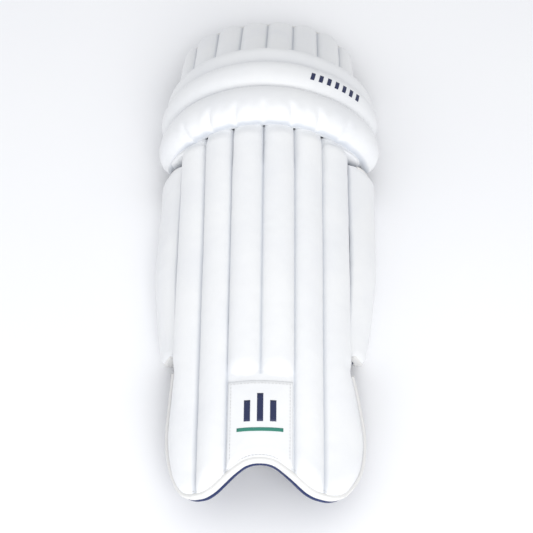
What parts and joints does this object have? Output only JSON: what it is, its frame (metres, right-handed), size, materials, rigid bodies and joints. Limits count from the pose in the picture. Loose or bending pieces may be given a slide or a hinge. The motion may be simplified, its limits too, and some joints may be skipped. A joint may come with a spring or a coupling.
{
  "type": "cricket batting leg pad",
  "caption": "White padded cricket leg pad with upright shin channels, arched knee rolls, a curved top flap, folding side wings and leg straps with rings.",
  "frame": {"origin": "on the resting plane, under the middle of the pad's length and width", "axes": "the pad lies on its back: +Z out of its front, +Y from the foot end to the top flap, +X to the batter's outer side"},
  "size_m": [0.2664, 0.687, 0.148],
  "materials": {
    "white_cover": "satin coated cloth",
    "edge_binding": "woven binding tape",
    "blue_lining": "woven lining",
    "stiff_board": "pressed felt board",
    "filling": "foam and cotton filling",
    "cane": "raw cane",
    "cushion_cover": "brushed cloth over foam",
    "webbing": "woven webbing",
    "fastening_tape": "hook and loop tape",
    "strap_trim": "stitched coated cloth",
    "ring_steel": "polished wire"
  },
  "bodies": {
    "strap_at_ankle": {"ankle_hook_tape": "fastening_tape", "ankle_loop_tape": "fastening_tape", "ankle_strap": "webbing", "ankle_strap_tip": "strap_trim"},
    "ring_at_ankle": {"ankle_ring": "ring_steel"},
    "shin_panel": {"ankle_ring_tab": "strap_trim", "ankle_strap_anchor": "strap_trim", "cane_rods": "cane", "foot_binding": "edge_binding", "instep_face": "white_cover", "instep_foam": "filling", "shin_board": "stiff_board", "shin_bolster_1": "filling", "shin_bolster_2": "filling", "shin_bolster_3": "filling", "shin_bolster_4": "filling", "shin_bolster_5": "filling", "shin_bolster_6": "filling", "shin_cushions": "filling", "shin_face": "white_cover", "shin_lining": "blue_lining"},
    "strap_at_calf": {"calf_hook_tape": "fastening_tape", "calf_loop_tape": "fastening_tape", "calf_strap": "webbing", "calf_strap_cushion": "cushion_cover", "calf_strap_tip": "strap_trim"},
    "ring_at_calf": {"calf_ring": "ring_steel"},
    "outer_wing": {"calf_ring_tab": "strap_trim", "knee_ring_tab": "strap_trim", "outer_wing_binding": "edge_binding", "outer_wing_face": "white_cover", "outer_wing_foam": "filling", "outer_wing_lining": "blue_lining"},
    "inner_wing": {"calf_strap_anchor": "strap_trim", "inner_wing_binding": "edge_binding", "inner_wing_face": "white_cover", "inner_wing_foam": "filling", "inner_wing_lining": "blue_lining", "knee_strap_anchor": "strap_trim"},
    "top_flap": {"flap_binding": "edge_binding", "flap_face": "white_cover", "flap_filling": "filling", "flap_lining": "blue_lining"},
    "knee_rolls": {"knee_board": "stiff_board", "knee_cushions": "filling", "knee_lining": "blue_lining", "lower_roll_cover": "white_cover", "lower_roll_stuffing": "filling", "middle_roll_cover": "white_cover", "middle_roll_stuffing": "filling", "upper_roll_cover": "white_cover", "upper_roll_stuffing": "filling"},
    "strap_at_knee": {"knee_hook_tape": "fastening_tape", "knee_loop_tape": "fastening_tape", "knee_strap": "webbing", "knee_strap_cushion": "cushion_cover", "knee_strap_tip": "strap_trim"},
    "ring_at_knee": {"knee_ring": "ring_steel"}
  },
  "joints": [
    {"name": "knee_fold", "type": "hinge", "parent": "shin_panel", "child": "knee_rolls", "pos_m": [0, 0.0997, 0.1305], "axis": [-1, 0, 0], "range_deg": [0, 6]},
    {"name": "flap_fold", "type": "hinge", "parent": "knee_rolls", "child": "top_flap", "pos_m": [0, 0.2263, 0.11], "axis": [1, 0, 0], "range_deg": [-5, 20]},
    {"name": "inner_wing_fold", "type": "hinge", "parent": "shin_panel", "child": "inner_wing", "pos_m": [-0.09775, -0.057, 0.06065], "axis": [0, 0.9981, 0.0611], "range_deg": [0, 30]},
    {"name": "outer_wing_fold", "type": "hinge", "parent": "shin_panel", "child": "outer_wing", "pos_m": [0.09775, -0.057, 0.06065], "axis": [0, -0.9981, -0.0611], "range_deg": [0, 30]},
    {"name": "knee_strap_swing", "type": "hinge", "parent": "inner_wing", "child": "strap_at_knee", "pos_m": [-0.1, 0.0215, 0.0032], "axis": [0, 1, 0], "range_deg": [0, 120]},
    {"name": "calf_strap_swing", "type": "hinge", "parent": "inner_wing", "child": "strap_at_calf", "pos_m": [-0.096, -0.1105, 0.0032], "axis": [0, 1, 0], "range_deg": [0, 120]},
    {"name": "ankle_strap_swing", "type": "hinge", "parent": "shin_panel", "child": "strap_at_ankle", "pos_m": [-0.082, -0.2455, 0.032], "axis": [0, 1, 0], "range_deg": [0, 105]},
    {"name": "knee_ring_swing", "type": "hinge", "parent": "outer_wing", "child": "ring_at_knee", "pos_m": [0.1036, 0.0215, 0.022], "axis": [0, 1, 0], "range_deg": [0, 120]},
    {"name": "calf_ring_swing", "type": "hinge", "parent": "outer_wing", "child": "ring_at_calf", "pos_m": [0.10018, -0.1105, 0.022], "axis": [0, 1, 0], "range_deg": [0, 120]},
    {"name": "ankle_ring_swing", "type": "hinge", "parent": "shin_panel", "child": "ring_at_ankle", "pos_m": [0.08, -0.2455, 0.039], "axis": [0, 1, 0], "range_deg": [0, 60]}
  ]
}
